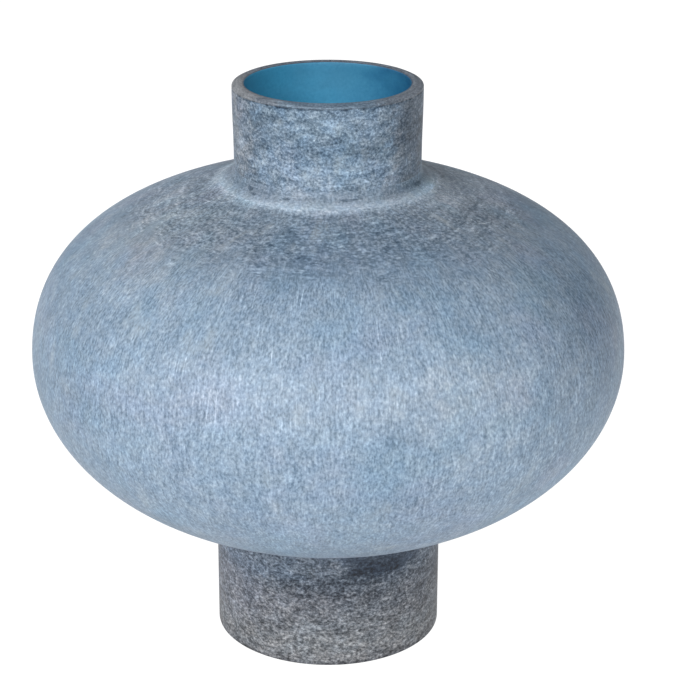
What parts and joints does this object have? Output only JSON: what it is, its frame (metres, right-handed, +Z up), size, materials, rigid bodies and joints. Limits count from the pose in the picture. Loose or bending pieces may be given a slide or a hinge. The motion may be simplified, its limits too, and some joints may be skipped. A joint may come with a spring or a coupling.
{
  "type": "glass vase",
  "caption": "Blown glass vase with a wide squat belly on a cylindrical foot, a short neck and an open mouth, frosted outside over clear blue glass.",
  "frame": {"origin": "middle of the foot's underside, on the surface that the vase stands on", "axes": "+Z up along the vase's axis of revolution; X and Y are any two directions across it"},
  "size_m": [0.27, 0.27, 0.262],
  "materials": {
    "clear_blue_glass": "satin, transparent blue",
    "brushed_charcoal_glass": "matt, brushed round the foot, speckled",
    "ground_blue_glass": "ground satin",
    "frosted_blue_glass": "matt, frosted, brushed from top to bottom, speckled",
    "pale_blue_glass": "matt, worn pale",
    "brushed_slate_glass": "matt, brushed round the neck, speckled",
    "smoked_lip_glass": "ground satin"
  },
  "bodies": {
    "root": {"inner_vessel": "clear_blue_glass", "foot_sleeve": "brushed_charcoal_glass", "base_disc": "ground_blue_glass", "belly_shell": "frosted_blue_glass", "neck_collar": "pale_blue_glass", "neck_sleeve": "brushed_slate_glass", "lip_ring": "smoked_lip_glass"}
  },
  "joints": []
}
